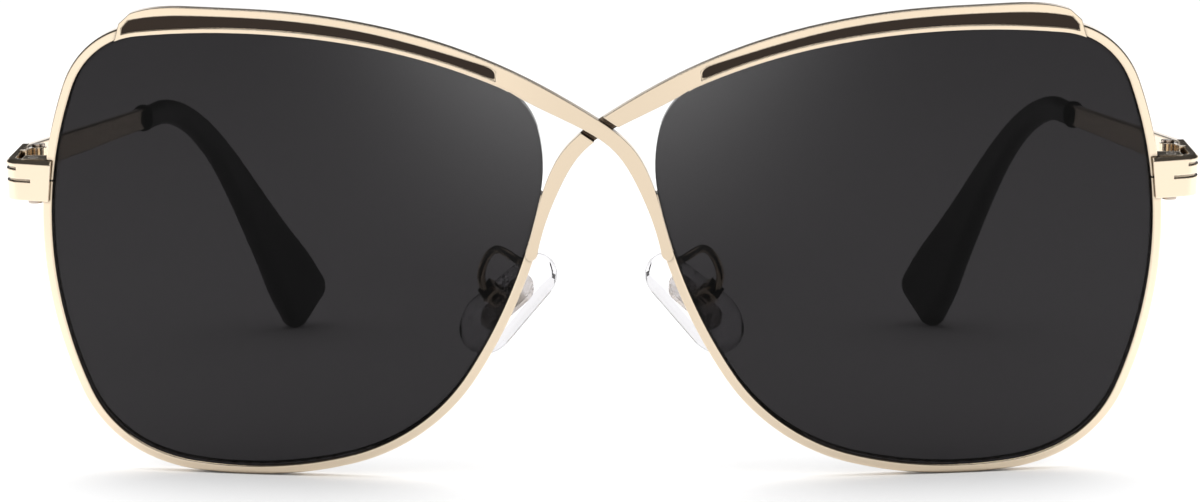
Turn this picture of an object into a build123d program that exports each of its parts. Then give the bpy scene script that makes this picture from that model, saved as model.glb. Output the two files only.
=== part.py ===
from build123d import *
import math
import os

# Butterfly sunglasses, standing on their rims and temple tips.
# Lengths are millimetres and angles are degrees. X runs across the face to the
# right, Y runs back along the temples and Z is up. The origin is the middle of
# the footprint, on the surface that the glasses stand on.
# The front is drawn in its own frame: Z along the front and Y square to it, with
# the outer bottom of the rims at zero. The hinge side is drawn for the right and
# mirrored for the left.

# Front as a whole
LENS_W = 61.0
LENS_H = 54.8
LENS_GAP = 13.4
FACE_RADIUS = 250.0
CUT_OVERRUN = 40.0

# Rim wire and the bevel that seats the lens in it
RIM_W = 1.2
RIM_DEPTH = 2.2
RIM_EDGE_R = 0.25
LENS_SET_BACK = 0.35
LENS_T = 1.5
BEVEL_REACH = 0.4
BEVEL_SET_BACK = 1.1
BEVEL_T = 0.6
RIM_SPLIT = 0.2

# Lens outline: tangent arcs through points given as shares of half the lens box,
# counter-clockwise from the outer lower side, and the way that the first arc sets out
LENS_POINT_SHARES = [
    (0.880, -0.667), (0.892, 0.728), (0.610, 0.973), (-0.278, 0.957),
    (-0.835, 0.782), (-0.983, 0.590), (-0.987, 0.297), (-0.691, -0.508),
    (-0.194, -0.924), (0.458, -0.990), (0.633, -0.941),
]
LENS_SET_OUT_SHARE = (0.3645, 1.000)
# The rim is open beside the bridge: a wedge seen from a point inside the lens
OPEN_WEDGE_SHARES = [(-0.70, 0.53), (-1.14, 0.20), (-1.14, 1.00), (-0.90, 1.00)]

# Brow bars, and the half lap where they cross
BAR_PROUD = 0.5
BAR_DEPTH = 0.9
LAP_DEPTH = 0.3
LAP_GAP = 0.5
BAR_W = 2.05
BAR_ANGLE = 34.0
CROSSING_SHARE = 0.800
# Bar outline over the lens: shares of the lens box from its inner lower corner,
# and of how far the brow rises over the edge of the lens there
BROW_RISE = 3.0
BAR_END_SHARES = [(0.852, 0.970, 0), (0.841, 0.977, 0.64), (0.818, 0.984, 0.93)]
BAR_TOP_SHARES = [
    (0.795, 0.988, 1.00), (0.677, 0.998, 0.97), (0.513, 0.997, 0.895),
    (0.349, 0.976, 0.877), (0.185, 0.933, 0.84),
]
BAR_INSIDE_SHARES = [(0.12, 0.83, 0), (0.80, 0.90, 0)]
# Beside the lens, as shares of half the gap between lenses and of the lens height
BRIDGE_TOP_SHARES = [
    (-1.24, 0.907), (-0.18, 0.834), (0.64, 0.753), (1.00, 0.664), (1.155, 0.598), (1.31, 0.530),
]
LEG_END_SHARES = [(1.32, 0.519), (1.26, 0.509), (1.19, 0.510), (1.12, 0.519)]
BRIDGE_LOW_SHARES = [
    (1.10, 0.530), (0.945, 0.598), (0.725, 0.664), (0.27, 0.753), (-0.35, 0.805), (-1.59, 0.883),
]

# Black inlay in each brow bar
INLAY_SET_BACK = 0.15
INLAY_POCKET = 0.6
INLAY_TOP_STRIP = 0.85
INLAY_LOW_STRIP = 0.5
INLAY_END_SHARES = [(0.839, 0.950, 0), (0.837, 0.979, 0.42), (0.822, 0.983, 0.694)]
INLAY_INNER_SHARES = [(0.100, 0.899, 0.658), (0.088, 0.894, 0.567), (0.090, 0.894, 0.11)]

# End piece: a front plate, a rounded corner and a run back to the hinge
END_HEIGHT_SHARE = 0.6515
END_OUT = 5.9
END_LAP = 0.3
END_H = 5.0
END_BACK_H = 4.0
END_PROUD = 0.9
END_SEAT = 0.25
END_CORNER_R = 2.4
END_BEVEL = 0.4
GROOVE_W = 0.4
GROOVE_DEPTH = 0.3
GROOVE_UPPER_RISE = 1.5
GROOVE_UPPER_REACH = 1.6
GROOVE_LOWER_REACH = 3.4

# Rim lock: two blocks behind the end piece, drawn together by a screw
LOCK_OUT = 2.4
LOCK_D = 2.3
LOCK_H = 2.5
LOCK_SCREW_R = 0.55
LOCK_HEAD_R = 0.9
LOCK_HEAD_H = 0.5
SLOT_W = 0.3
SLOT_DEPTH = 0.2

# Hinge, in its own frame: X outwards from the pin, Y back along the temple
HINGE_BACK = 7.78
HINGE_RISE = 0.6
PANTO = 6.5
SPLAY = 4.2
KNUCKLE_R = 1.05
STRIP_CLEAR = 0.15
LEAF_T = 0.8
LEAF_H = 3.2
LEAF_LEN = 4.2
KNUCKLE_PLAY = 0.05
PIN_R = 0.5
PIN_FIT = 0.03
PIN_HEAD_R = 0.8
PIN_HEAD_H = 0.4
BUTT_GAP = 0.12
KNUCKLES = 3

# Temple strip and the wire that runs on inside the tip
STRIP_T = 1.2
STRIP_H = 3.6
STRIP_END_H = 3.0
STRIP_LEN = 58.0
STRIP_EDGE_R = 0.3
CORE_W = 1.4
CORE_T = 1.0
CORE_SHARE = 0.8

# Temple tip: straight, one bend, then straight again, leaning inwards. Its blade
# starts upright and twists until its back edge lies towards the head.
TIP_STRAIGHT = 8.5
TIP_BEND_R = 52.0
TIP_DROP = 44.5
TIP_TAIL = 37.4
TIP_LEAN = 13.5
TIP_TWIST = 34.0
TIP_BLADE_W = 11.2
TIP_BLADE_T = 4.1
# Stations along the tip: share of its length, of the blade's width, of its
# thickness and of the twist
TIP_STATION_SHARES = [
    (0.00, 0.31, 0.62, 0.0), (0.10, 0.32, 0.62, 0.0), (0.20, 0.34, 0.62, 0.0),
    (0.32, 0.38, 0.63, 0.0), (0.44, 0.44, 0.68, 0.1), (0.56, 0.54, 0.76, 0.3),
    (0.68, 0.67, 0.86, 0.55), (0.80, 0.83, 0.95, 0.82), (0.90, 0.97, 1.00, 1.0),
    (0.955, 1.00, 1.00, 1.0), (0.984, 0.95, 0.94, 1.0), (0.994, 0.82, 0.82, 1.0),
    (0.999, 0.62, 0.60, 1.0), (1.00, 0.40, 0.34, 1.0),
]

# Nose pad and its metal core, in a frame with X along the pad and Z to its arm
PAD_OUT = 4.9
PAD_Y = 11.6
PAD_HEIGHT_SHARE = 0.354
PAD_SPLAY = 45.0
PAD_TURN = 37.0
PAD_LEN = 15.4
PAD_W = 8.4
PAD_END_R = 3.2
PAD_T = 2.6
PAD_EDGE_R = 1.0
PLATE_LEN = 8.6
PLATE_W = 3.8
PLATE_T = 0.5
LUG_T = 1.0
LUG_R = 0.8
PAD_PIN_RISE = 2.9

# Pad box and its screw
BOX_WALL = 0.5
BOX_PLAY = 0.06
BOX_LEN = 2.2
BOX_BACK = 0.6
BOX_SKIRT = 0.95
BOX_CLEAR = 0.15
PAD_PIN_R = 0.4
PAD_HEAD_R = 0.65
PAD_HEAD_H = 0.4

# Pad arm: a wire from the back of the rim, out and round to the box
ARM_R = 0.5
ARM_FOOT_SHARE = (-0.915, -0.011)
ARM_SINK = 0.3
ARM_BEND_OUT = 3.6
ARM_BEND_BACK = 3.5
ARM_BEND_RISE = 0.7
ARM_BITE = 0.1

# Footing: the search for the lean that sets rims and tips on one level
MOST_LEAN = 16.0
LEAN_STEPS = 12
TOUCH = 0.001

# Places that follow from the sizes above
HALF = 1 / 2
HALF_TURN = 180
LENS_X = LENS_GAP * HALF + LENS_W * HALF
LENS_Z = RIM_W + LENS_H * HALF
LENS_EDGE_X = LENS_X + LENS_W * HALF
FACE_CENTRE = (0, FACE_RADIUS, LENS_Z)
SIDE_X = LENS_EDGE_X + END_OUT
END_Z = RIM_W + END_HEIGHT_SHARE * LENS_H
END_INNER_TOP_X = LENS_EDGE_X - END_LAP
END_INNER_LOW_X = LENS_EDGE_X + END_LAP
STRIP_IN = KNUCKLE_R + STRIP_CLEAR


def face_depth(x, z):
    """Depth of the curved front surface at a point of the front view."""
    return FACE_RADIUS - math.sqrt(FACE_RADIUS ** 2 - x ** 2 - (z - LENS_Z) ** 2)


HINGE_Y = face_depth(SIDE_X, END_Z) + HINGE_BACK
HINGE = Pos(SIDE_X - STRIP_IN - STRIP_T, HINGE_Y, END_Z + HINGE_RISE) * Rot(-PANTO, 0, 0) * Rot(0, 0, SPLAY)
TIP = HINGE * Pos(STRIP_IN + STRIP_T * HALF, STRIP_LEN, 0) * Rot(0, TIP_LEAN, 0)
PAD_PLACE = Pos(LENS_GAP * HALF + PAD_OUT, PAD_Y, RIM_W + PAD_HEIGHT_SHARE * LENS_H)
PAD = PAD_PLACE * Rot(0, PAD_SPLAY, 0) * Rot(PAD_TURN, 0, 0)


def lens_point(share):
    """A point of the front view from shares of half the right lens's box."""
    return LENS_X + share[0] * LENS_W * HALF, LENS_Z + share[1] * LENS_H * HALF


def arc_through(start, end, heading):
    """Middle point and end heading of the arc that leaves start at a heading."""
    chord = math.atan2(end[1] - start[1], end[0] - start[0])
    half_sweep = math.remainder(chord - heading, math.tau)
    length = math.dist(start, end) * HALF / math.cos(half_sweep * HALF)
    aim = heading + half_sweep * HALF
    middle = start[0] + length * math.cos(aim), start[1] + length * math.sin(aim)
    return middle, heading + half_sweep + half_sweep


def lens_face(grow):
    """Front view of the right lens, with its edge moved outwards by grow."""
    points = [lens_point(share) for share in LENS_POINT_SHARES]
    corners = []
    heading = math.atan2(LENS_SET_OUT_SHARE[1] * LENS_H, LENS_SET_OUT_SHARE[0] * LENS_W)
    for start, end in zip(points, points[1:] + points[:1]):
        corners.append((start, heading))
        heading = arc_through(start, end, heading)[1]
    moved = [(x + grow * math.sin(h), z - grow * math.cos(h)) for (x, z), h in corners]
    edges = []
    for (start, (_, h)), end in zip(zip(moved, corners), moved[1:] + moved[:1]):
        edges.append(ThreePointArc(start, arc_through(start, end, h)[0], end))
    return make_face(edges)


def prism(face):
    """A face of the front view, run through the whole depth of the front."""
    return extrude(Plane.XZ * face, amount=CUT_OVERRUN, both=True)


def shell(solid, near, far):
    """The part of a solid between two depths behind the curved front surface."""
    outer = Pos(*FACE_CENTRE) * Sphere(FACE_RADIUS - near)
    inner = Pos(*FACE_CENTRE) * Sphere(FACE_RADIUS - far)
    return solid & outer - inner


def polygon(points):
    """A closed face through the points of the front view."""
    return make_face(Polyline(*points, close=True))


def open_wedge():
    """Where the lens edge beside the bridge has no rim."""
    return prism(polygon([lens_point(share) for share in OPEN_WEDGE_SHARES]))


def lens():
    """The lens with the bevel that sits in the rim's groove."""
    body = shell(prism(lens_face(0)), LENS_SET_BACK, LENS_SET_BACK + LENS_T)
    ring = prism(lens_face(BEVEL_REACH)) - open_wedge()
    bevel = shell(ring, BEVEL_SET_BACK, BEVEL_SET_BACK + BEVEL_T)
    return body + bevel


def over_lens(share):
    """A point over the left lens, from shares of its box and of the brow's rise."""
    across, up, rise = share
    return -LENS_GAP * HALF - across * LENS_W, RIM_W + up * LENS_H + rise * BROW_RISE


def in_gap(share):
    """A point beside the bridge, from shares of half the gap and the lens height."""
    return share[0] * LENS_GAP * HALF, RIM_W + share[1] * LENS_H


def bar_face():
    """Front view of the bar that starts over the left lens."""
    end = [over_lens(share) for share in BAR_END_SHARES]
    top = [over_lens(share) for share in BAR_TOP_SHARES]
    top = top + [in_gap(share) for share in BRIDGE_TOP_SHARES]
    leg_end = [in_gap(share) for share in LEG_END_SHARES]
    low = [in_gap(share) for share in BRIDGE_LOW_SHARES]
    inside = [over_lens(share) for share in BAR_INSIDE_SHARES]
    edges = [
        Polyline(*end),
        Spline(end[-1], *top),
        Spline(top[-1], *leg_end, low[0]),
        Spline(*low),
        Polyline(low[-1], *inside, end[0]),
    ]
    return make_face(Curve() + edges)


def inlay_face():
    """Front view of the left inlay, reaching down into the lens."""
    end = [over_lens(share) for share in INLAY_END_SHARES]
    top = [over_lens(share) for share in BAR_TOP_SHARES]
    top = [(x, z - INLAY_TOP_STRIP) for x, z in top]
    inner = [over_lens(share) for share in INLAY_INNER_SHARES]
    edges = [Polyline(*end), Spline(end[-1], *top, inner[0]), Polyline(*inner, end[0])]
    return make_face(Curve() + edges)


def crossing_band(angle):
    """A straight band along one bar through the crossing, wider than the bar."""
    middle = in_gap((0, CROSSING_SHARE))
    return prism(Pos(*middle) * Rot(0, 0, angle) * Rectangle(LENS_GAP, BAR_W + LAP_GAP + LAP_GAP))


def on_front(edge):
    """Whether an edge lies all along the curved front surface."""
    centre = Vector(*FACE_CENTRE)
    spots = [edge @ 0, edge @ HALF, edge @ 1]
    return all(abs((spot - centre).length - FACE_RADIUS) < TOUCH for spot in spots)


def inlay(near, far):
    """The left inlay between two depths behind the front surface."""
    below = prism(lens_face(INLAY_LOW_STRIP)).mirror(Plane.YZ)
    return shell(prism(inlay_face()) - below, near, far)


def bar_block():
    """The left bar before the lens openings and the crossing are cut."""
    return shell(prism(bar_face()), -BAR_PROUD, BAR_DEPTH)


def brow_bars():
    """Both bars: the left one crosses in front of the right one in a half lap."""
    opening = prism(lens_face(0))
    whole = bar_block() - opening - opening.mirror(Plane.YZ)
    twin = whole.mirror(Plane.YZ)
    pocket = inlay(-BAR_PROUD - INLAY_POCKET, INLAY_POCKET - BAR_PROUD)
    front_bar = whole - shell(twin, LAP_DEPTH, BAR_DEPTH) - pocket
    notch = shell(crossing_band(-BAR_ANGLE), -BAR_PROUD - LAP_GAP, LAP_DEPTH)
    rear_bar = twin - notch - front_bar - pocket.mirror(Plane.YZ)
    return front_bar, rear_bar


def rims(glass, end):
    """Upper and lower rim wire of the right lens, split behind the end piece."""
    block = bar_block()
    ring = shell(prism(lens_face(RIM_W)) - prism(lens_face(0)), 0, RIM_DEPTH)
    ring = fillet([edge for edge in ring.edges() if on_front(edge)], RIM_EDGE_R)
    ring = ring - open_wedge() - glass - end - block - block.mirror(Plane.YZ)
    slot = Box(LENS_W * HALF, CUT_OVERRUN + CUT_OVERRUN, RIM_SPLIT)
    ring = ring - Pos(LENS_EDGE_X, 0, END_Z) * slot
    pieces = sorted(ring.solids(), key=lambda piece: piece.center().Z)
    return pieces[-1], pieces[0]


def end_front_y(x):
    """Front of the end piece in plan, flat where the face is curved."""
    near_y = face_depth(END_INNER_TOP_X, END_Z)
    slope = (face_depth(SIDE_X, END_Z) - near_y) / (SIDE_X - END_INNER_TOP_X)
    return near_y - END_PROUD + slope * (x - END_INNER_TOP_X)


def end_plan(front_inset, side_inset):
    """Plan from the front round the corner to the hinge, filled to the inside."""
    side_x = SIDE_X - side_inset
    inner_x = END_INNER_TOP_X - STRIP_T
    back_y = HINGE_Y + STRIP_T
    outer = [
        (inner_x, end_front_y(inner_x) + front_inset),
        (side_x, end_front_y(side_x) + front_inset),
        (side_x, back_y),
    ]
    edges = [
        FilletPolyline(*outer, radius=END_CORNER_R - side_inset),
        Polyline(outer[-1], (inner_x, back_y), outer[0]),
    ]
    return make_face(Curve() + edges)


def end_groove(rise, reach):
    """A groove round the corner of the end piece at a height above its middle."""
    skin = end_plan(0, 0) - end_plan(GROOVE_DEPTH, GROOVE_DEPTH)
    skin = extrude(skin, amount=GROOVE_W * HALF, both=True)
    corner = Pos(SIDE_X, HINGE_Y * HALF, 0) * Box(reach + reach, HINGE_Y, GROOVE_W)
    return Pos(0, 0, END_Z + rise) * (skin & corner)


def end_side():
    """Side view of the end piece, from the front back to the hinge."""
    low = END_Z - END_H * HALF
    high = END_Z + END_H * HALF
    bend_y = end_front_y(SIDE_X) + END_CORNER_R
    back_y = HINGE_Y + STRIP_T
    back_low = END_Z + HINGE_RISE - END_BACK_H * HALF
    back_high = END_Z + HINGE_RISE + END_BACK_H * HALF
    front_y = end_front_y(END_INNER_TOP_X) - STRIP_T
    points = [
        (front_y, low), (bend_y, low), (HINGE_Y, back_low), (back_y, back_low),
        (back_y, back_high), (HINGE_Y, back_high), (bend_y, high), (front_y, high),
    ]
    return extrude(Plane.YZ * polygon(points), amount=SIDE_X + CUT_OVERRUN)


def end_piece():
    """End piece: its plan, cut to its side view, its front view and the hinge."""
    plan = end_plan(0, 0) - end_plan(END_PROUD + END_SEAT, STRIP_T)
    body = Pos(0, 0, END_Z) * extrude(plan, amount=END_H, both=True) & end_side()
    low = END_Z - END_H * HALF
    high = END_Z + END_H * HALF
    inner_side = [(LENS_X, low), (END_INNER_LOW_X, low), (END_INNER_TOP_X, high), (LENS_X, high)]
    body = body - prism(polygon(inner_side))
    back = Pos(0, (CUT_OVERRUN - BUTT_GAP) * HALF, 0) * Box(CUT_OVERRUN, CUT_OVERRUN, CUT_OVERRUN)
    body = body - HINGE * back
    body = body - end_groove(GROOVE_UPPER_RISE, GROOVE_UPPER_REACH) - end_groove(0, GROOVE_LOWER_REACH)
    top_front = [
        edge for edge in body.edges()
        if abs(edge.center().Z - high) < TOUCH and edge.center().Y < end_front_y(edge.center().X) + TOUCH
    ]
    return chamfer(top_front, END_BEVEL)


def slotted(radius, height):
    """A screw head standing on the plane Z = 0, with its driver slot."""
    head = Pos(0, 0, height * HALF) * Cylinder(radius, height)
    return head - Pos(0, 0, height) * Box(radius + radius, SLOT_W, SLOT_DEPTH + SLOT_DEPTH)


def rim_lock(end):
    """Upper block, lower block and screw of the right rim lock."""
    edge_x = LENS_EDGE_X + RIM_W
    front_y = face_depth(edge_x, END_Z) + END_SEAT
    middle_y = front_y + LOCK_D * HALF
    pin_x = edge_x + LOCK_OUT * HALF
    keep_out = prism(lens_face(RIM_W)) + end
    hole = Pos(pin_x, middle_y, END_Z) * Cylinder(LOCK_SCREW_R, LENS_H)
    blank = Box(LOCK_OUT + RIM_W, LOCK_D, LOCK_H)
    blocks = []
    for side in (1, -1):
        middle_z = END_Z + side * (RIM_SPLIT + LOCK_H) * HALF
        block = Pos(edge_x + (LOCK_OUT - RIM_W) * HALF, middle_y, middle_z) * blank
        blocks.append((block - keep_out - hole).solids().sort_by(SortBy.VOLUME)[-1])
    reach = LOCK_H + LOCK_H + RIM_SPLIT
    screw = Cylinder(LOCK_SCREW_R, reach)
    screw = screw + Pos(0, 0, -reach * HALF) * Rot(HALF_TURN, 0, 0) * slotted(LOCK_HEAD_R, LOCK_HEAD_H)
    return blocks[0], blocks[1], Pos(pin_x, middle_y, END_Z) * screw


def span_box(x_span, y_span, z_span):
    """A box between pairs of limits."""
    sizes = [high - low for low, high in (x_span, y_span, z_span)]
    middle = [(low + high) * HALF for low, high in (x_span, y_span, z_span)]
    return Pos(*middle) * Box(*sizes)


def hinge_leaf(side, heights):
    """A leaf on one side of the pin, with a knuckle at each pair of heights."""
    plate_x = STRIP_IN - LEAF_T, STRIP_IN
    full = sorted((side * STRIP_IN, side * LEAF_LEN))
    leaf = span_box(plate_x, full, (-LEAF_H * HALF, LEAF_H * HALF))
    for low, high in heights:
        root = span_box((0, STRIP_IN), sorted((0, side * STRIP_IN)), (low, high))
        barrel = Pos(0, 0, (low + high) * HALF) * Cylinder(KNUCKLE_R, high - low)
        leaf = leaf + root + barrel
    return leaf - Cylinder(PIN_R + PIN_FIT, LEAF_H + LEAF_H)


def hinge(end):
    """Front leaf, temple leaf and screw of the right hinge."""
    top = LEAF_H * HALF
    inner = top / KNUCKLES
    front = hinge_leaf(-1, [(-top, -inner), (inner, top)])
    temple = hinge_leaf(1, [(KNUCKLE_PLAY - inner, inner - KNUCKLE_PLAY)])
    screw = Cylinder(PIN_R, LEAF_H) + Pos(0, 0, top) * slotted(PIN_HEAD_R, PIN_HEAD_H)
    return HINGE * front - end, HINGE * temple, HINGE * screw


def tip_path(tail):
    """Middle line of the tip: straight, one bend down, then a straight tail."""
    bend = JernArc((TIP_STRAIGHT, 0), (1, 0), TIP_BEND_R, -TIP_DROP)
    slope = math.radians(TIP_DROP)
    end = bend @ 1 + Vector(tail * math.cos(slope), -tail * math.sin(slope))
    return Plane.YZ * (Curve() + [Line((0, 0), (TIP_STRAIGHT, 0)), bend, Line(bend @ 1, end)])


def across(path, share, turn):
    """A plane square to the path, its X across the blade, turned about the path."""
    heading = path % share
    plane = Plane(path @ share, x_dir=heading.cross(Vector(-1, 0, 0)), z_dir=heading)
    return plane * Rot(0, 0, turn)


def temple():
    """Right temple strip, with the core wire that runs on inside the tip."""
    outline = [
        (BUTT_GAP * HALF, -STRIP_H * HALF), (STRIP_LEN, -STRIP_END_H * HALF),
        (STRIP_LEN, STRIP_END_H * HALF), (BUTT_GAP * HALF, STRIP_H * HALF),
    ]
    strip = Pos(STRIP_IN, 0, 0) * extrude(Plane.YZ * polygon(outline), amount=STRIP_T)
    long_edges = [edge for edge in strip.edges() if edge.length > STRIP_LEN * HALF]
    strip = fillet(long_edges, STRIP_EDGE_R)
    path = tip_path(TIP_TAIL * CORE_SHARE)
    core = sweep(across(path, 0, 0) * Rectangle(CORE_W, CORE_T), path=path)
    return HINGE * strip + TIP * core


def tip(wire):
    """Right temple tip, a blade that widens to its end, hollowed for the core."""
    path = tip_path(TIP_TAIL)
    sections = []
    for share, wide, thick, twist in TIP_STATION_SHARES:
        plane = across(path, share, -TIP_LEAN - (TIP_TWIST - TIP_LEAN) * twist)
        sections.append(plane * SlotOverall(TIP_BLADE_W * wide, TIP_BLADE_T * thick))
    return TIP * loft(sections) - wire


def nose_pad(core):
    """Right nose pad, moulded round its core."""
    low = Pos((PAD_LEN - PAD_W) * HALF, 0) * Circle(PAD_W * HALF)
    high = Pos(PAD_END_R - PAD_LEN * HALF, 0) * Circle(PAD_END_R)
    face = make_hull((low + high).edges())
    body = extrude(face, amount=PAD_T * HALF, both=True)
    body = fillet(body.edges().filter_by(Plane.XY), PAD_EDGE_R)
    return PAD * body - core


def pad_core():
    """Plate inside the right nose pad and the lug that stands up from it."""
    plate = extrude(SlotOverall(PLATE_LEN, PLATE_W), amount=PLATE_T * HALF, both=True)
    lug = span_box((-LUG_R, LUG_R), (-LUG_T * HALF, LUG_T * HALF), (0, PAD_PIN_RISE))
    eye = Pos(0, 0, PAD_PIN_RISE) * Rot(HALF_TURN * HALF, 0, 0)
    lug = lug + eye * Cylinder(LUG_R, LUG_T) - eye * Cylinder(PAD_PIN_R + PIN_FIT, LUG_T)
    return PAD * (plate + lug)


def pad_box():
    """Box over the lug of the right nose pad, and the screw through both."""
    inner = LUG_T * HALF + BOX_PLAY
    outer = inner + BOX_WALL
    roof = LUG_R + BOX_CLEAR
    half_len = BOX_LEN * HALF
    box = span_box((-half_len, half_len), (-outer, outer), (-BOX_SKIRT, roof + BOX_BACK))
    box = box - span_box((-BOX_LEN, BOX_LEN), (-inner, inner), (-BOX_LEN, roof))
    along = Rot(HALF_TURN * HALF, 0, 0)
    box = box - along * Cylinder(PAD_PIN_R + PIN_FIT, BOX_LEN + BOX_LEN)
    screw = Cylinder(PAD_PIN_R, outer + outer) + Pos(0, 0, outer) * slotted(PAD_HEAD_R, PAD_HEAD_H)
    place = PAD * Pos(0, 0, PAD_PIN_RISE)
    return place * box, place * along * screw


def pad_arm(rim, box, glass):
    """Wire from the back of the right rim, out and round to the pad box."""
    foot_x, foot_z = lens_point(ARM_FOOT_SHARE)
    foot = Vector(foot_x, face_depth(foot_x, foot_z) + RIM_DEPTH - ARM_SINK, foot_z)
    bend = foot + Vector(ARM_BEND_OUT, ARM_BEND_BACK, ARM_BEND_RISE)
    top = PAD * Pos(0, 0, PAD_PIN_RISE + LUG_R + BOX_CLEAR + BOX_BACK - ARM_BITE)
    normal = Plane(top).z_dir
    path = Spline(foot, bend, top.position, tangents=[bend - foot, -normal])
    wire = sweep(Plane(foot, z_dir=path % 0) * Circle(ARM_R), path=path)
    return (wire - rim - box - glass).solids().sort_by(SortBy.VOLUME)[-1]


def half_frame():
    """Every piece of the right side but the bar, by name without its side."""
    bars = brow_bars()
    glass = lens()
    end = end_piece()
    pieces = {"lens": glass, "end_piece": end}
    pieces["brow_inlay"] = inlay(INLAY_SET_BACK - BAR_PROUD, INLAY_POCKET - BAR_PROUD).mirror(Plane.YZ)
    pieces["rim_upper"], pieces["rim_lower"] = rims(glass, end)
    pieces["lock_block_upper"], pieces["lock_block_lower"], pieces["lock_screw"] = rim_lock(end)
    pieces["hinge_front"], pieces["hinge_temple"], pieces["hinge_screw"] = hinge(end)
    pieces["temple"] = temple()
    pieces["tip"] = tip(pieces["temple"])
    pieces["pad_core"] = pad_core()
    pieces["nose_pad"] = nose_pad(pieces["pad_core"])
    pieces["pad_box"], pieces["pad_screw"] = pad_box()
    pieces["pad_arm"] = pad_arm(pieces["rim_lower"], pieces["pad_box"], glass)
    return bars, pieces


def footing(rim, blade):
    """The lean that sets rims and tips on one level."""
    low_angle, high_angle = 0, MOST_LEAN
    for _ in range(LEAN_STEPS):
        angle = (low_angle + high_angle) * HALF
        turn = Rot(angle, 0, 0)
        if (turn * blade).bounding_box().min.Z > (turn * rim).bounding_box().min.Z:
            high_angle = angle
        else:
            low_angle = angle
    return Rot(angle, 0, 0)


def main():
    """Writes one file for each piece of the standing sunglasses."""
    bars, pieces = half_frame()
    turn = footing(pieces["rim_lower"], pieces["tip"])
    nodes = {"brow_bar_left": bars[0], "brow_bar_right": bars[1]}
    for name, piece in pieces.items():
        nodes[name + "_right"] = piece
        nodes[name + "_left"] = piece.mirror(Plane.YZ)
    nodes = {name: turn * piece for name, piece in nodes.items()}
    boxes = [piece.bounding_box() for piece in nodes.values()]
    front = min(box.min.Y for box in boxes)
    back = max(box.max.Y for box in boxes)
    floor = min(box.min.Z for box in boxes)
    os.makedirs("parts", exist_ok=True)
    for name, piece in nodes.items():
        export_step(Pos(0, -(front + back) * HALF, -floor) * piece, f"parts/{name}.step")


if __name__ == "__main__":
    main()
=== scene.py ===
"""Butterfly sunglasses: finishes, fine pieces, stage, light and camera."""

import logging
import math
from dataclasses import dataclass, field
from enum import Enum
from typing import ClassVar

import bmesh
import bpy
from mathutils import Matrix, Vector


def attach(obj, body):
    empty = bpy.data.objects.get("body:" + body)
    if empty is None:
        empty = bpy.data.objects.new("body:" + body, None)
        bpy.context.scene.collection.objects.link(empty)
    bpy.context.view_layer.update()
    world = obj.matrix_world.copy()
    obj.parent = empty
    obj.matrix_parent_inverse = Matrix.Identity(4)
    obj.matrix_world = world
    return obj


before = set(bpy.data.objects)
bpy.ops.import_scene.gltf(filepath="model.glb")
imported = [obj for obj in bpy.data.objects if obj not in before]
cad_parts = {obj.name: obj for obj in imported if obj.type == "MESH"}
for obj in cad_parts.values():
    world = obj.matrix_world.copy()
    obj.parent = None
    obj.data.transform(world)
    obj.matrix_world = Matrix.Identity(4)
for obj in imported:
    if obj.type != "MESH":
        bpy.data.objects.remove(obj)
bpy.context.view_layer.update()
LOG = logging.getLogger("sunglasses")
MM = 0.001
SIDES = ("left", "right")

Colour = tuple[float, float, float]
Point = tuple[float, float, float]
Range = tuple[float, float]
Shares = tuple[tuple[float, float], ...]


class Effect(Enum):
    """Shader effects that several materials share, each one node group."""

    TONE = "tone variation"
    GRAIN = "fine grain"
    EDGE = "rounded edge"
    SMUDGE = "handling marks"
    SHADE = "seam shade"


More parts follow.
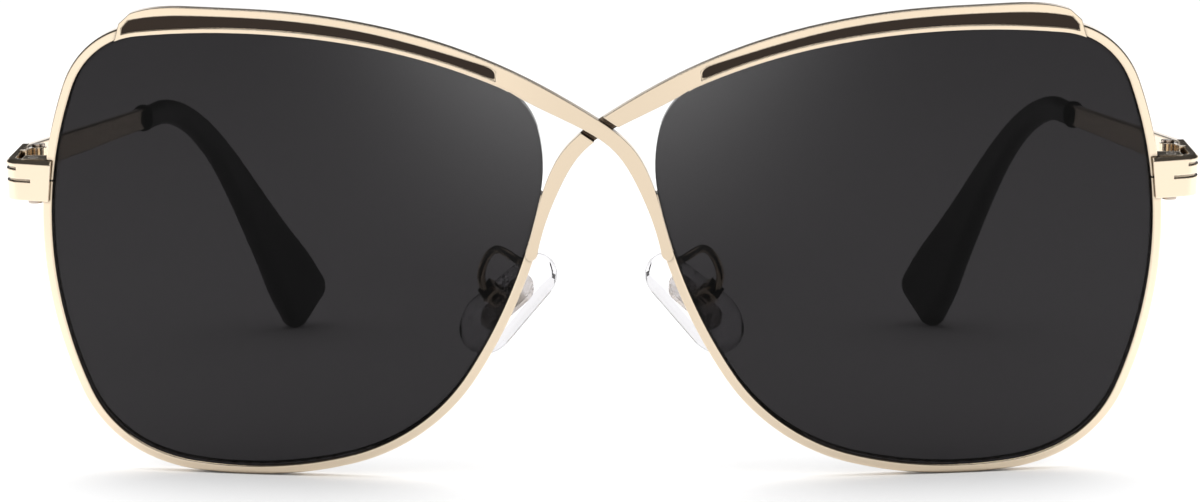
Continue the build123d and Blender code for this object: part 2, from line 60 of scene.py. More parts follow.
class Graph:
    """Adds and joins the nodes of one shader tree."""

    # Places of a Mix node's two values and its result, for numbers and for colours.
    NUMBER_SOCKETS: ClassVar[tuple[int, int, int]] = (2, 3, 0)
    COLOUR_SOCKETS: ClassVar[tuple[int, int, int]] = (6, 7, 2)

    def __init__(self, tree: bpy.types.NodeTree) -> None:
        """Keeps the node tree that the nodes go into."""
        self.tree = tree

    def add(self, kind: str, **settings: object) -> bpy.types.Node:
        """Adds a node.

        Args:
            kind: Blender's type name of the node.
            settings: attributes of the node and their values.

        Returns:
            The new node.
        """
        node = self.tree.nodes.new(kind)
        for name, value in settings.items():
            setattr(node, name, value)
        return node

    def join(self, source: bpy.types.NodeSocket, target: bpy.types.NodeSocket) -> None:
        """Links an output socket to an input socket."""
        self.tree.links.new(source, target)

    def feed(self, value: object, target: bpy.types.NodeSocket) -> None:
        """Gives an input a socket's value, or a plain number or colour.

        Args:
            value: the socket, the number or the colour.
            target: the input socket.
        """
        if isinstance(value, bpy.types.NodeSocket):
            self.join(value, target)
        else:
            target.default_value = value

    def math(self, operation: str, first: object, second: object = 0.0) -> bpy.types.NodeSocket:
        """Adds a Math node, fed by sockets or plain numbers.

        Args:
            operation: the node's operation.
            first: its first value.
            second: its second value.

        Returns:
            The node's output socket.
        """
        node = self.add("ShaderNodeMath", operation=operation)
        self.feed(first, node.inputs[0])
        self.feed(second, node.inputs[1])
        return node.outputs[0]

    def noise(self, scale: object, detail: float) -> bpy.types.NodeSocket:
        """Adds a noise texture in object space.

        Args:
            scale: its scale, a socket or a number.
            detail: its detail.

        Returns:
            The socket of the noise value, about one half on average.
        """
        place = self.add("ShaderNodeTexCoord")
        noise = self.add("ShaderNodeTexNoise")
        noise.inputs["Detail"].default_value = detail
        self.join(place.outputs["Object"], noise.inputs["Vector"])
        self.feed(scale, noise.inputs["Scale"])
        return noise.outputs[0]

    def ramp(self, value: bpy.types.NodeSocket, source: Range, target: Range) -> bpy.types.NodeSocket:
        """Maps a value smoothly from one range to another.

        Args:
            value: the value.
            source: where the ramp starts and ends.
            target: what it gives there.

        Returns:
            The socket of the mapped value.
        """
        node = self.add("ShaderNodeMapRange", interpolation_type="SMOOTHSTEP")
        self.join(value, node.inputs["Value"])
        for name, number in zip(("From Min", "From Max", "To Min", "To Max"), (*source, *target)):
            node.inputs[name].default_value = number
        return node.outputs[0]

    def split(self, vector: bpy.types.NodeSocket) -> bpy.types.NodeOutputs:
        """Takes a vector apart.

        Args:
            vector: the socket of the vector.

        Returns:
            The outputs, named X, Y and Z.
        """
        node = self.add("ShaderNodeSeparateXYZ")
        self.join(vector, node.inputs[0])
        return node.outputs

    def choose(self, share: object, first: object, second: object) -> bpy.types.NodeSocket:
        """Mixes two numbers or their sockets, with a share of the second from zero to one."""
        return self._mix("FLOAT", self.NUMBER_SOCKETS, share, first, second)

    def blend(self, share: object, first: object, second: object) -> bpy.types.NodeSocket:
        """Mixes two colours or their sockets, with a share of the second from zero to one."""
        return self._mix("RGBA", self.COLOUR_SOCKETS, share, first, second)

    def _mix(
        self, kind: str, sockets: tuple[int, int, int], share: object, first: object, second: object
    ) -> bpy.types.NodeSocket:
        """Adds a Mix node.

        Args:
            kind: what it mixes, by Blender's name.
            sockets: the places of its two values and its result.
            share: how much of the second value, from zero to one.
            first: the first value or socket.
            second: the second value or socket.

        Returns:
            The socket of the result.
        """
        node = self.add("ShaderNodeMix", data_type=kind)
        self.feed(share, node.inputs[0])
        self.feed(first, node.inputs[sockets[0]])
        self.feed(second, node.inputs[sockets[1]])
        return node.outputs[sockets[2]]

    def effect(self, kind: Effect, **values: object) -> bpy.types.Node:
        """Places a shared effect with this material's own values.

        Args:
            kind: which effect.
            values: the group's inputs by name, as numbers, colours or sockets.

        Returns:
            The group node.
        """
        node = self.add("ShaderNodeGroup", node_tree=EffectLibrary.tree(kind))
        for name, value in values.items():
            self.feed(value, node.inputs[name])
        return node


class EffectLibrary:
    """Builds each shared effect once and hands out its node group."""

    TONE_DETAIL: ClassVar[float] = 4.0
    GRAIN_DETAIL: ClassVar[float] = 8.0
    SMUDGE_DETAIL: ClassVar[float] = 2.0
    SMUDGE_POWER: ClassVar[float] = 3.0
    EDGE_GAIN: ClassVar[float] = 4.0
    SHADE_OPENNESS: ClassVar[Range] = (0.45, 0.97)
    RAY_SAMPLES: ClassVar[int] = 6

    @classmethod
    def tree(cls, kind: Effect) -> bpy.types.NodeTree:
        """Finds or builds the group of one effect.

        Args:
            kind: which effect.

        Returns:
            The node group.
        """
        found = bpy.data.node_groups.get(kind.value)
        if found is not None:
            return found
        makers = {
            Effect.TONE: cls._tone,
            Effect.GRAIN: cls._grain,
            Effect.EDGE: cls._edge,
            Effect.SMUDGE: cls._smudge,
            Effect.SHADE: cls._shade,
        }
        group = bpy.data.node_groups.new(kind.value, "ShaderNodeTree")
        makers[kind](group)
        return group

    @staticmethod
    def _ends(
        group: bpy.types.NodeTree, inputs: dict[str, str], outputs: dict[str, str]
    ) -> tuple[bpy.types.Node, bpy.types.Node]:
        """Declares a group's sockets and adds its two end nodes.

        Args:
            group: the group.
            inputs: socket type by input name.
            outputs: socket type by output name.

        Returns:
            The input node and the output node.
        """
        for direction, sockets in (("INPUT", inputs), ("OUTPUT", outputs)):
            for name, kind in sockets.items():
                group.interface.new_socket(name, in_out=direction, socket_type="NodeSocket" + kind)
        return group.nodes.new("NodeGroupInput"), group.nodes.new("NodeGroupOutput")

    @classmethod
    def _tone(cls, group: bpy.types.NodeTree) -> None:
        """A colour that drifts a little towards a second one.

        Args:
            group: the empty group to fill.
        """
        inputs = {"Colour": "Color", "Other": "Color", "Amount": "Float", "Scale": "Float"}
        start, end = cls._ends(group, inputs, {"Colour": "Color"})
        graph = Graph(group)
        drift = graph.noise(start.outputs["Scale"], cls.TONE_DETAIL)
        level = graph.math("MULTIPLY", drift, start.outputs["Amount"])
        graph.join(graph.blend(level, start.outputs["Colour"], start.outputs["Other"]), end.inputs["Colour"])

    @classmethod
    def _grain(cls, group: bpy.types.NodeTree) -> None:
        """A fine even relief.

        Args:
            group: the empty group to fill.
        """
        start, end = cls._ends(group, {"Scale": "Float", "Depth": "Float"}, {"Height": "Float"})
        graph = Graph(group)
        fine = graph.noise(start.outputs["Scale"], cls.GRAIN_DETAIL)
        graph.join(graph.math("MULTIPLY", fine, start.outputs["Depth"]), end.inputs["Height"])

    @classmethod
    def _edge(cls, group: bpy.types.NodeTree) -> None:
        """A normal that rounds sharp edges, and a mask of where it does.

        Args:
            group: the empty group to fill.
        """
        start, end = cls._ends(group, {"Radius": "Float"}, {"Normal": "Vector", "Mask": "Float"})
        graph = Graph(group)
        bevel = graph.add("ShaderNodeBevel", samples=cls.RAY_SAMPLES)
        graph.join(start.outputs["Radius"], bevel.inputs["Radius"])
        place = graph.add("ShaderNodeNewGeometry")
        turn = graph.add("ShaderNodeVectorMath", operation="DOT_PRODUCT")
        graph.join(bevel.outputs[0], turn.inputs[0])
        graph.join(place.outputs["Normal"], turn.inputs[1])
        bent = graph.math("MULTIPLY", graph.math("SUBTRACT", 1.0, turn.outputs["Value"]), cls.EDGE_GAIN)
        graph.join(bevel.outputs[0], end.inputs["Normal"])
        graph.join(graph.math("MINIMUM", bent, 1.0), end.inputs["Mask"])

    @classmethod
    def _smudge(cls, group: bpy.types.NodeTree) -> None:
        """Roughness that rises in soft patches.

        Args:
            group: the empty group to fill.
        """
        inputs = {"Base": "Float", "Extra": "Float", "Scale": "Float"}
        start, end = cls._ends(group, inputs, {"Roughness": "Float"})
        graph = Graph(group)
        patches = graph.noise(start.outputs["Scale"], cls.SMUDGE_DETAIL)
        mask = graph.math("POWER", patches, cls.SMUDGE_POWER)
        extra = graph.math("MULTIPLY", mask, start.outputs["Extra"])
        graph.join(graph.math("ADD", extra, start.outputs["Base"]), end.inputs["Roughness"])

    @classmethod
    def _shade(cls, group: bpy.types.NodeTree) -> None:
        """A mask for painted shade, from ambient occlusion, that rises in seams and narrow corners.

        Args:
            group: the empty group to fill.
        """
        start, end = cls._ends(group, {"Reach": "Float"}, {"Mask": "Float"})
        graph = Graph(group)
        corner = graph.add("ShaderNodeAmbientOcclusion", samples=cls.RAY_SAMPLES)
        graph.join(start.outputs["Reach"], corner.inputs["Distance"])
        graph.join(graph.ramp(corner.outputs["AO"], cls.SHADE_OPENNESS, (1.0, 0.0)), end.inputs["Mask"])


@dataclass(frozen=True)
class Finish:
    """What every finish has in common."""

    name: str
    colour: Colour
    other: Colour
    roughness: float
    drift: float = 0.3
    drift_scale: float = 60.0
    smudge: float = 0.08
    smudge_scale: float = 90.0
    grain_scale: float = 2500.0
    grain_depth: float = 0.0
    grain_height: float = 0.1 * MM
    edge_radius: float = 0.12 * MM
    # Painted shade in seams and corners: how far the occlusion reaches and how much it darkens.
    shade_reach: float = 0.6 * MM
    shade_share: float = 0.85

    def build(self) -> bpy.types.Material:
        """Makes the material.

        Returns:
            The new material.
        """
        material = bpy.data.materials.new(self.name)
        material.use_nodes = True
        graph = Graph(material.node_tree)
        shader = material.node_tree.nodes["Principled BSDF"]
        colours = {"Colour": (*self.colour, 1.0), "Other": (*self.other, 1.0)}
        tone = graph.effect(Effect.TONE, **colours, Amount=self.drift, Scale=self.drift_scale)
        graph.join(tone.outputs["Colour"], shader.inputs["Base Color"])
        shader.inputs["Roughness"].default_value = self.roughness
        if self.smudge > 0.0:
            sizes = {"Base": self.roughness, "Extra": self.smudge, "Scale": self.smudge_scale}
            smudge = graph.effect(Effect.SMUDGE, **sizes)
            graph.join(smudge.outputs["Roughness"], shader.inputs["Roughness"])
        self.adjust(graph, shader, tone)
        return material

    def shaded(self, graph: Graph, colour: bpy.types.NodeSocket, painted_shade_colour: Colour) -> bpy.types.NodeSocket:
        """Paints shade into a colour in seams and narrow corners.

        Args:
            graph: the material's graph.
            colour: the colour in the open.
            painted_shade_colour: the colour at the bottom of a seam.

        Returns:
            The socket of the shaded colour.
        """
        # Painted shade where ambient occlusion finds seams and narrow corners.
        shade = graph.effect(Effect.SHADE, Reach=self.shade_reach)
        depth = graph.math("MULTIPLY", shade.outputs["Mask"], self.shade_share)
        return graph.blend(depth, colour, (*painted_shade_colour, 1.0))

    def relief(self, graph: Graph, shader: bpy.types.Node) -> bpy.types.Node:
        """Rounds the edges and adds the fine grain.

        Args:
            graph: the material's graph.
            shader: its Principled shader.

        Returns:
            The edge effect, whose mask tells where the edges are.
        """
        edge = graph.effect(Effect.EDGE, Radius=self.edge_radius)
        grain = graph.effect(Effect.GRAIN, Scale=self.grain_scale, Depth=self.grain_depth)
        bump = graph.add("ShaderNodeBump")
        bump.inputs["Distance"].default_value = self.grain_height
        graph.join(grain.outputs["Height"], bump.inputs["Height"])
        graph.join(edge.outputs["Normal"], bump.inputs["Normal"])
        graph.join(bump.outputs["Normal"], shader.inputs["Normal"])
        return edge

    def adjust(self, graph: Graph, shader: bpy.types.Node, tone: bpy.types.Node) -> None:
        """Sets what only this kind of finish has, on its graph, its shader and its tone effect."""


@dataclass(frozen=True)
class Metal(Finish):
    """Plated metal, with a painted highlight along its rounded edges and painted shade in its seams."""

    # Painted highlight: the pale colour blended in along the rounded edges, and how much of it.
    edge_highlight_colour: Colour = (1.0, 0.95, 0.86)
    edge_highlight_share: float = 0.4
    # Painted shade: the dark colour blended in where the occlusion mask rises.
    seam_shade_colour: Colour = (0.035, 0.022, 0.014)

    def adjust(self, graph: Graph, shader: bpy.types.Node, tone: bpy.types.Node) -> None:
        """Makes the surface metallic, paints a highlight along its edges and paints shade into its seams.

        Args:
            graph: the material's graph.
            shader: its Principled shader.
            tone: its tone effect.
        """
        shader.inputs["Metallic"].default_value = 1.0
        edge = self.relief(graph, shader)
        # Painted highlight along the rounded edges.
        painted_edge_highlight = graph.math("MULTIPLY", edge.outputs["Mask"], self.edge_highlight_share)
        colour = graph.blend(painted_edge_highlight, tone.outputs["Colour"], (*self.edge_highlight_colour, 1.0))
        # Painted shade in seams and narrow corners.
        graph.join(self.shaded(graph, colour, self.seam_shade_colour), shader.inputs["Base Color"])


@dataclass(frozen=True)
class Plastic(Finish):
    """Opaque plastic or enamel."""

    specular: float = 0.5

    def adjust(self, graph: Graph, shader: bpy.types.Node, tone: bpy.types.Node) -> None:
        """Rounds the edges and sets how strongly the surface mirrors."""
        self.relief(graph, shader)
        shader.inputs["Specular IOR Level"].default_value = self.specular


@dataclass(frozen=True)
class Clear(Finish):
    """See-through plastic or tinted glass, darker at its rim and where it is seen at a slant."""

    ior: float = 1.45
    # Share of the tint left as painted shade in seams.
    seam_shade_share: float = 0.10
    rim_share: float = 0.30
    slant_blend: float = 0.5
    slant_range: Range = (0.50, 0.95)

    def adjust(self, graph: Graph, shader: bpy.types.Node, tone: bpy.types.Node) -> None:
        """Lets light through the surface, darkens its edges and slants, and paints shade into its seams.

        Args:
            graph: the material's graph.
            shader: its Principled shader.
            tone: its tone effect.
        """
        shader.inputs["Transmission Weight"].default_value = 1.0
        shader.inputs["IOR"].default_value = self.ior
        # Painted shade colour for the seams.
        painted_shade_colour = tuple(level * self.seam_shade_share for level in self.colour)
        dim = tuple(level * self.rim_share for level in self.colour)
        edge = graph.effect(Effect.EDGE, Radius=self.edge_radius)
        slant = graph.add("ShaderNodeLayerWeight")
        slant.inputs["Blend"].default_value = self.slant_blend
        thick = graph.ramp(slant.outputs["Facing"], self.slant_range, (0.0, 1.0))
        rim = graph.math("MAXIMUM", edge.outputs["Mask"], thick)
        rimmed = graph.blend(rim, tone.outputs["Colour"], (*dim, 1.0))
        graph.join(self.shaded(graph, rimmed, painted_shade_colour), shader.inputs["Base Color"])


FRAME_METAL = Metal(
    "rose gold plate", (0.88, 0.73, 0.55), (0.84, 0.68, 0.50), roughness=0.10,
    edge_radius=0.18 * MM, shade_reach=1.2 * MM, shade_share=1.0,
)
RIM_METAL = Metal(
    "rose gold rim", (0.90, 0.755, 0.575), (0.86, 0.70, 0.52), roughness=0.10, edge_radius=0.20 * MM,
)
PAD_METAL = Metal(
    "pad core metal", (0.93, 0.88, 0.82), (0.90, 0.83, 0.74), roughness=0.45, shade_share=0.0,
)
SCREW_METAL = Metal("screw steel", (0.62, 0.52, 0.44), (0.50, 0.42, 0.36), roughness=0.25)
LENS_TINT = Clear(
    "grey lens", (0.0262, 0.0248, 0.0262), (0.0245, 0.0232, 0.0245), roughness=0.0, smudge=0.0,
    drift=0.2, ior=1.15, edge_radius=0.25 * MM, rim_share=0.03, shade_reach=0.5 * MM, shade_share=1.0,
)
INLAY_ENAMEL = Plastic(
    "black enamel", (0.026, 0.016, 0.010), (0.016, 0.011, 0.008), roughness=0.30, specular=0.16,
)
TIP_PLASTIC = Plastic(
    "black tip plastic", (0.010, 0.009, 0.009), (0.016, 0.015, 0.014), roughness=0.35, grain_depth=0.15,
)
PAD_CLEAR = Clear(
    "clear pad", (0.96, 0.95, 0.97), (0.92, 0.91, 0.94), roughness=0.0, smudge=0.0,
    ior=1.18, rim_share=0.35, shade_share=0.0, slant_range=(0.30, 0.95),
)


@dataclass
class Outline:
    """A closed line of points around a face."""

    points: list[Vector]
    normal: Vector
    # Two corners are one if they agree to this many digits of a millimetre.
    PLACE_DIGITS: ClassVar[int] = 3
    LEAST_POINTS: ClassVar[int] = 12
    LEAST_LENGTH: ClassVar[float] = 1e-9

    @classmethod
    def around(cls, mesh: bpy.types.Mesh, chosen: list[bpy.types.MeshPolygon]) -> "Outline":
        """Walks the longest edge line around a group of faces.

        Args:
            mesh: the mesh.
            chosen: the faces of the group.

        Returns:
            The outline, counter-clockwise about the faces' mean normal.
        """
        places: dict[tuple[float, ...], Vector] = {}
        edges: set[tuple[tuple[float, ...], tuple[float, ...]]] = set()
        normal = Vector()
        for face in chosen:
            normal += face.normal * face.area
            keys = []
            for index in face.vertices:
                place = mesh.vertices[index].co
                keys.append(tuple(round(value / MM, cls.PLACE_DIGITS) for value in place))
                places[keys[-1]] = place.copy()
            edges.update(zip(keys, keys[1:] + keys[:1]))
        after = {start: end for start, end in edges if (end, start) not in edges}
        loops = []
        while after:
            start, step = after.popitem()
            loop = [places[start]]
            while step in after:
                loop.append(places[step])
                step = after.pop(step)
            loops.append(loop)
        return cls(max(loops, key=len), normal.normalized())

    def resampled(self, step: float) -> "Outline":
        """Spreads the points evenly.

        Args:
            step: the wanted distance between points.

        Returns:
            The new outline.
        """
        ends = self.points[1:] + self.points[:1]
        lengths = [(end - start).length for start, end in zip(self.points, ends)]
        total = sum(lengths)
        count = max(self.LEAST_POINTS, round(total / step))
        points, index, passed = [], 0, 0.0
        for number in range(count):
            target = total * number / count
            while passed + lengths[index] < target:
                passed += lengths[index]
                index += 1
            share = (target - passed) / max(lengths[index], self.LEAST_LENGTH)
            points.append(self.points[index].lerp(ends[index], share))
        return Outline(points, self.normal)

    def smoothed(self, times: list[int]) -> "Outline":
        """Rounds the corners by averaging neighbours.

        Args:
            times: how often each point is averaged.

        Returns:
            The new outline.
        """
        points = [point.copy() for point in self.points]
        for done in range(max(times)):
            former = [point.copy() for point in points]
            for index, limit in enumerate(times):
                if done < limit:
                    middle = (former[index - 1] + former[(index + 1) % len(former)]) / 2
                    points[index] = (former[index] + middle) / 2
        return Outline(points, self.normal)

    def pushed(self, outward: float, forward: float) -> list[Vector]:
        """Moves every point sideways from the outline and along its normal.

        Args:
            outward: how far out, negative for inwards.
            forward: how far along the normal.

        Returns:
            The moved points.
        """
        moved = []
        for index, point in enumerate(self.points):
            run = self.points[(index + 1) % len(self.points)] - self.points[index - 1]
            moved.append(point + run.cross(self.normal).normalized() * outward + self.normal * forward)
        return moved

    def section(self, width: float, height: float, shares: Shares) -> list[list[Vector]]:
        """Pushes the outline to each point of a section, given as shares of its width and height."""
        return [self.pushed(width * outward, height * forward) for outward, forward in shares]


def add_object(name: str, data: bpy.types.ID) -> bpy.types.Object:
    """Makes an object of a mesh, a light or a camera, and puts it in the scene.

    Args:
        name: the object's name.
        data: the mesh, light or camera.

    Returns:
        The new object.
    """
    made = bpy.data.objects.new(name, data)
    bpy.context.scene.collection.objects.link(made)
    return made


def band(name: str, rings: list[list[Vector]]) -> bpy.types.Object:
    """Builds a closed ring whose section runs through matching lines of points.

    Args:
        name: the object's name.
        rings: the lines of points, in order around the section.

    Returns:
        The new object.
    """
    build = bmesh.new()
    lines = [[build.verts.new(point) for point in ring] for ring in rings]
    for first, second in zip(lines, lines[1:] + lines[:1]):
        for index in range(len(first)):
            build.faces.new((first[index - 1], first[index], second[index], second[index - 1]))
    bmesh.ops.recalc_face_normals(build, faces=build.faces)
    for face in build.faces:
        face.smooth = True
    mesh = bpy.data.meshes.new(name)
    build.to_mesh(mesh)
    build.free()
    return add_object(name, mesh)


class Assembly:
    """A group of CAD nodes that share a purpose, with the pieces added to it."""

    finishes: dict[str, Finish] = {}

    def dress(self, shelf: dict[str, bpy.types.Material]) -> None:
        """Gives the left and right node of every kind in this group their finish.

        Args:
            shelf: the materials that were built so far, by name.
        """
        for stem, finish in self.finishes.items():
            if finish.name not in shelf:
                shelf[finish.name] = finish.build()
            for side in SIDES:
                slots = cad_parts[f"{stem}_{side}"].data.materials
                slots.clear()
                slots.append(shelf[finish.name])
            LOG.info("%s: %s", stem, finish.name)

    def add_pieces(self, shelf: dict[str, bpy.types.Material]) -> None:
        """Adds the fine pieces of this group, with materials from the shelf."""

    def settle(self, piece: bpy.types.Object, material: bpy.types.Material, body: str) -> None:
        """Gives an added piece its finish and the body it moves with.

        Args:
            piece: the added piece.
            material: its material.
            body: the body's name.
        """
        piece.data.materials.append(material)
        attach(piece, body)
        LOG.info("%s: %s", piece.name, material.name)


@dataclass
class Front(Assembly):
    """Lenses, rims, bars, inlays and what closes the rims."""

    finishes: dict[str, Finish] = field(default_factory=lambda: {
        "lens": LENS_TINT,
        "rim_upper": RIM_METAL,
        "rim_lower": RIM_METAL,
        "brow_bar": FRAME_METAL,
        "brow_inlay": INLAY_ENAMEL,
        "end_piece": RIM_METAL,
        "lock_block_upper": FRAME_METAL,
        "lock_block_lower": FRAME_METAL,
        "lock_screw": SCREW_METAL,
    })
    bezel_step: float = 0.15 * MM
    bezel_width: float = 0.14 * MM
    bezel_height: float = 0.07 * MM
    bezel_sink: float = 0.03 * MM
    bezel_outer_foot_share: float = 1.0
    bezel_outer_shares: Shares = ((0.8, 0.7), (0.4, 1.0))
    bezel_inner_shares: Shares = ((-0.3, 1.0), (-0.7, 0.7))
    bezel_inner_foot_share: float = -0.9
    # An inlay's face looks ahead, so the Y of its normal is below this.
    inlay_face_turn: float = -0.8
    # Nearer to the middle than this, the bezel's inner line is rounded much, and elsewhere a little.
    bezel_round_x: float = 16.0 * MM
    bezel_round_times: tuple[int, int] = (3, 26)

    def add_pieces(self, shelf: dict[str, bpy.types.Material]) -> None:
        """Frames each brow inlay with a raised bezel, rounded at its inner end.

        Args:
            shelf: the materials that were built so far, by name.
        """
        little, much = self.bezel_round_times
        for side in SIDES:
            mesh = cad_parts[f"brow_inlay_{side}"].data
            faces = [face for face in mesh.polygons if face.normal.y < self.inlay_face_turn]
            outer = Outline.around(mesh, faces).resampled(self.bezel_step)
            times = [much if abs(point.x) < self.bezel_round_x else little for point in outer.points]
            inner = outer.smoothed(times)
            rings = [
                outer.pushed(self.bezel_width * self.bezel_outer_foot_share, -self.bezel_sink),
                *outer.section(self.bezel_width, self.bezel_height, self.bezel_outer_shares),
                *inner.section(self.bezel_width, self.bezel_height, self.bezel_inner_shares),
                inner.pushed(self.bezel_width * self.bezel_inner_foot_share, -self.bezel_sink),
            ]
            self.settle(band(f"inlay_bezel_{side}", rings), shelf[FRAME_METAL.name], "front")


@dataclass
class Temples(Assembly):
    """Hinges, temple strips and tips."""

    finishes: dict[str, Finish] = field(default_factory=lambda: {
        "hinge_front": FRAME_METAL,
        "hinge_temple": FRAME_METAL,
        "hinge_screw": SCREW_METAL,
        "temple": FRAME_METAL,
        "tip": TIP_PLASTIC,
    })
    mouth_step: float = 0.12 * MM
    mouth_flare: float = 0.28 * MM
    mouth_length: float = 0.70 * MM
    mouth_wall: float = 0.45 * MM
    mouth_proud: float = 0.02 * MM
    mouth_outer_shares: Shares = ((0.6, -0.5), (1.0, -0.1), (0.8, 0.15))
    mouth_inner_shares: Shares = ((-0.3, 0.1), (-1.0, -0.1))
    mouth_round_times: int = 2
    # The faces of a tip's front end are turned alike and lie in one plane, within this much.
    end_alike: float = 0.999
    end_play: float = 0.02 * MM

    def end_faces(self, mesh: bpy.types.Mesh) -> list[bpy.types.MeshPolygon]:
        """Finds the faces of a tip's front end.

        Args:
            mesh: the tip's mesh.

        Returns:
            The faces in the plane of the foremost one.
        """
        first = min(mesh.polygons, key=lambda face: face.center.y)
        level = first.normal.dot(first.center)
        return [
            face for face in mesh.polygons
            if face.normal.dot(first.normal) > self.end_alike
            and abs(face.center.dot(first.normal) - level) < self.end_play
        ]

    def add_pieces(self, shelf: dict[str, bpy.types.Material]) -> None:
        """Flares the mouth of each tip where the strip enters it.

        Args:
            shelf: the materials that were built so far, by name.
        """
        for side in SIDES:
            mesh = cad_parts[f"tip_{side}"].data
            rim = Outline.around(mesh, self.end_faces(mesh)).resampled(self.mouth_step)
            rim = rim.smoothed([self.mouth_round_times] * len(rim.points))
            rings = [
                rim.pushed(self.mouth_proud, -self.mouth_length),
                *rim.section(self.mouth_flare, self.mouth_length, self.mouth_outer_shares),
                *rim.section(self.mouth_wall, self.mouth_length, self.mouth_inner_shares),
            ]
            self.settle(band(f"tip_mouth_{side}", rings), shelf[TIP_PLASTIC.name], f"temple_{side}")


@dataclass
class NosePads(Assembly):
    """Pad arms, boxes, screws, clear pads and their cores."""

    finishes: dict[str, Finish] = field(default_factory=lambda: {
        "pad_arm": FRAME_METAL,
        "pad_box": FRAME_METAL,
        "pad_screw": SCREW_METAL,
        "nose_pad": PAD_CLEAR,
        "pad_core": PAD_METAL,
    })


@dataclass
class Studio:
    """Floor, world light, soft lights and camera."""

    floor_size: float = 12.0
    floor_white: float = 0.90
    floor_cool_share: float = 0.99
    floor_drift: float = 0.5
    floor_drift_scale: float = 3.0
    # Metal mirrors the floor darkest in the middle, brighter to the sides, and brighter near the front
    # and behind it than further ahead.
    floor_ahead: Range = (0.65, 0.80)
    floor_ahead_half: float = 0.12
    floor_aside: Range = (0.25, 0.80)
    floor_aside_gain: float = 1.20
    floor_close: Range = (-0.14, -0.07)
    floor_close_gain: float = 1.22
    # The world lights evenly. Mirrors show a pale wall low down, dim to the sides and white behind, and
    # a dark room above it.
    sky_level: float = 1.22
    wall_level: float = 0.85
    wall_top: Range = (0.10, 0.35)
    overhead_level: float = 0.05
    side_turn: Range = (0.60, 0.95)
    side_share: float = 0.30
    back_level: float = 1.0
    back_turn: Range = (0.35, 0.80)
    back_top: Range = (0.15, 0.32)
    # The camera's angles are in degrees, and its lens in millimetres.
    camera_aim_y: float = -0.06973
    camera_distance: float = 0.31971
    camera_height: float = 0.063488
    camera_yaw: float = 0.9
    camera_pitch: float = 6.2305
    camera_roll: float = -0.2728
    camera_lens: float = 79.414
    camera_clip: Range = (0.01, 50.0)
    top_place: Point = (0.0, -0.1, 0.9)
    top_aim: Point = (0.0, 0.0, 0.0)
    top_size: tuple[float, float] = (0.8, 0.8)
    top_power: float = 3.0
    card_size: tuple[float, float] = (0.50, 0.45)
    card_near: float = -0.128
    card_height: float = 1.0 * MM
    card_middle_share: float = 0.5
    card_source: float = 0.158
    card_aside: float = 0.02
    card_fall: float = 23.0
    card_power: float = 33.0

    def floor(self) -> None:
        """Lays the plain pale floor."""
        mesh = bpy.data.meshes.new("floor")
        half = self.floor_size / 2
        corners = [(-half, -half, 0), (half, -half, 0), (half, half, 0), (-half, half, 0)]
        mesh.from_pydata(corners, [], [(0, 1, 2, 3)])
        floor = add_object("floor", mesh)
        mesh.materials.append(self.floor_material())
        LOG.info("floor")

    def floor_material(self) -> bpy.types.Material:
        """Makes the floor's matt white, with a tone of its own for metal to mirror.

        Returns:
            The new material.
        """
        material = bpy.data.materials.new("floor white")
        material.use_nodes = True
        shader = material.node_tree.nodes["Principled BSDF"]
        graph = Graph(material.node_tree)
        level = self.floor_white
        cool = (level * self.floor_cool_share, level * self.floor_cool_share, level, 1.0)
        colours = {"Colour": (level, level, level, 1.0), "Other": cool}
        tone = graph.effect(Effect.TONE, **colours, Amount=self.floor_drift, Scale=self.floor_drift_scale)
        path = graph.add("ShaderNodeLightPath")
        place = graph.split(graph.add("ShaderNodeTexCoord").outputs["Object"])
        sideways = graph.math("ABSOLUTE", place["X"])
        ahead = graph.ramp(sideways, (0.0, self.floor_ahead_half), self.floor_ahead)
        aside = graph.ramp(sideways, self.floor_aside, (1.0, self.floor_aside_gain))
        close = graph.ramp(place["Y"], self.floor_close, (1.0, self.floor_close_gain))
        mirrored = graph.math("MULTIPLY", graph.math("MULTIPLY", ahead, aside), close)
        # A ray that came through a lens is glossy and a transmission ray, and sees the plain floor.
        reflected = graph.math("SUBTRACT", path.outputs["Is Glossy Ray"], path.outputs["Is Transmission Ray"])
        share = graph.math("MAXIMUM", reflected, 0.0)
        graph.join(graph.blend(share, tone.outputs["Colour"], mirrored), shader.inputs["Base Color"])
        shader.inputs["Roughness"].default_value = 1.0
        shader.inputs["Specular IOR Level"].default_value = 0.0
        return material

    def world(self) -> None:
        """Lights the scene evenly, with walls and a dark room above that only mirrors show."""
        world = bpy.data.worlds.new("studio")
        bpy.context.scene.world = world
        world.use_nodes = True
        graph = Graph(world.node_tree)
        back = world.node_tree.nodes["Background"]
        way = graph.split(graph.add("ShaderNodeTexCoord").outputs["Generated"])
        wall = graph.ramp(way["Z"], self.wall_top, (self.wall_level, self.overhead_level))
        aside = graph.ramp(graph.math("ABSOLUTE", way["X"]), self.side_turn, (1.0, self.side_share))
        turned = graph.ramp(way["Y"], self.back_turn, (0.0, 1.0))
        low = graph.ramp(way["Z"], self.back_top, (1.0, 0.0))
        behind = graph.math("MULTIPLY", turned, low)
        mirrored = graph.choose(behind, graph.math("MULTIPLY", wall, aside), self.back_level)
        path = graph.add("ShaderNodeLightPath")
        glossy = graph.choose(path.outputs["Is Glossy Ray"], self.sky_level, mirrored)
        seen = graph.math("MAXIMUM", path.outputs["Is Camera Ray"], path.outputs["Is Transmission Ray"])
        back.inputs["Color"].default_value = (1.0, 1.0, 1.0, 1.0)
        graph.join(graph.choose(seen, glossy, 1.0), back.inputs["Strength"])
        LOG.info("world light")

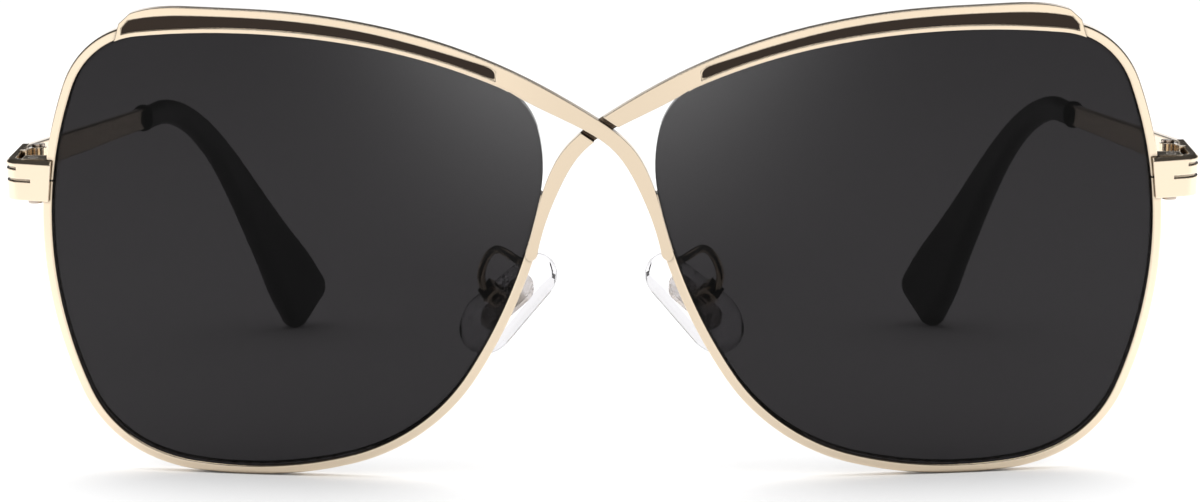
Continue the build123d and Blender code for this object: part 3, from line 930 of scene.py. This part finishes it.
    def lamp(self, name: str, size: tuple[float, float], power: float) -> bpy.types.Object:
        """Makes a rectangular soft light.

        Args:
            name: its name.
            size: its width and height.
            power: its power in watts.

        Returns:
            The lamp.
        """
        data = bpy.data.lights.new(name, "AREA")
        data.shape = "RECTANGLE"
        data.size, data.size_y = size
        data.energy = power
        LOG.info("light %s", name)
        return add_object(name, data)

    def top(self) -> None:
        """Hangs the soft light above."""
        lamp = self.lamp("top", self.top_size, self.top_power)
        lamp.location = self.top_place
        way = Vector(self.top_aim) - Vector(self.top_place)
        lamp.rotation_euler = way.to_track_quat("-Z", "Y").to_euler()

    def card(self, takers: list[bpy.types.Object]) -> None:
        """Lays a soft light on the floor ahead, brighter away from the glasses and fading to its sides.

        Args:
            takers: the only objects that it lights.
        """
        lamp = self.lamp("card", self.card_size, self.card_power)
        lamp.data.use_nodes = True
        graph = Graph(lamp.data.node_tree)
        glow = lamp.data.node_tree.nodes["Emission"]
        place = graph.split(graph.add("ShaderNodeNewGeometry").outputs["Parametric"])
        width, length = self.card_size
        aside = graph.math("MULTIPLY", graph.math("SUBTRACT", place["X"], self.card_middle_share), width)
        ahead = graph.math("ADD", graph.math("MULTIPLY", place["Y"], length), self.card_source)
        angle = graph.math("ADD", graph.math("DIVIDE", aside, ahead), self.card_aside)
        squared = graph.math("MULTIPLY", angle, angle)
        fade = graph.math("EXPONENT", graph.math("MULTIPLY", squared, -self.card_fall))
        graph.join(graph.math("MULTIPLY", fade, place["Y"]), glow.inputs["Strength"])
        lamp.location = (0.0, self.card_near - length / 2, self.card_height)
        lamp.rotation_euler = (math.pi, 0.0, 0.0)
        lamp.visible_camera = False
        lamp.visible_transmission = False
        group = bpy.data.collections.new("card takers")
        for taker in takers:
            group.objects.link(taker)
        lamp.light_linking.receiver_collection = group

    def camera(self) -> None:
        """Sets the camera at the photograph's place and angle."""
        data = bpy.data.cameras.new("camera")
        data.lens = self.camera_lens
        data.clip_start, data.clip_end = self.camera_clip
        camera = add_object("camera", data)
        turn = Matrix.Rotation(math.radians(self.camera_yaw), 4, "Z")
        tilt = Matrix.Rotation(math.radians(90 - self.camera_pitch), 4, "X")
        roll = Matrix.Rotation(math.radians(self.camera_roll), 4, "Z")
        aim = Matrix.Translation((0.0, self.camera_aim_y, self.camera_height))
        back = Matrix.Translation((0.0, -self.camera_distance, 0.0))
        camera.matrix_world = aim @ turn @ back @ tilt @ roll
        bpy.context.scene.camera = camera
        LOG.info("camera")


def main() -> None:
    """Builds every group in order, then the floor, world light, lamps and camera."""
    logging.basicConfig(level=logging.INFO, format="%(name)s: %(message)s")
    bpy.context.scene.view_settings.view_transform = "Standard"
    shelf: dict[str, bpy.types.Material] = {}
    for assembly in (Front(), Temples(), NosePads()):
        assembly.dress(shelf)
        assembly.add_pieces(shelf)
        LOG.info("%s done", type(assembly).__name__)
    studio = Studio()
    studio.floor()
    studio.world()
    studio.top()
    studio.card([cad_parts[f"lens_{side}"] for side in SIDES])
    studio.camera()


if __name__ == "__main__":
    main()
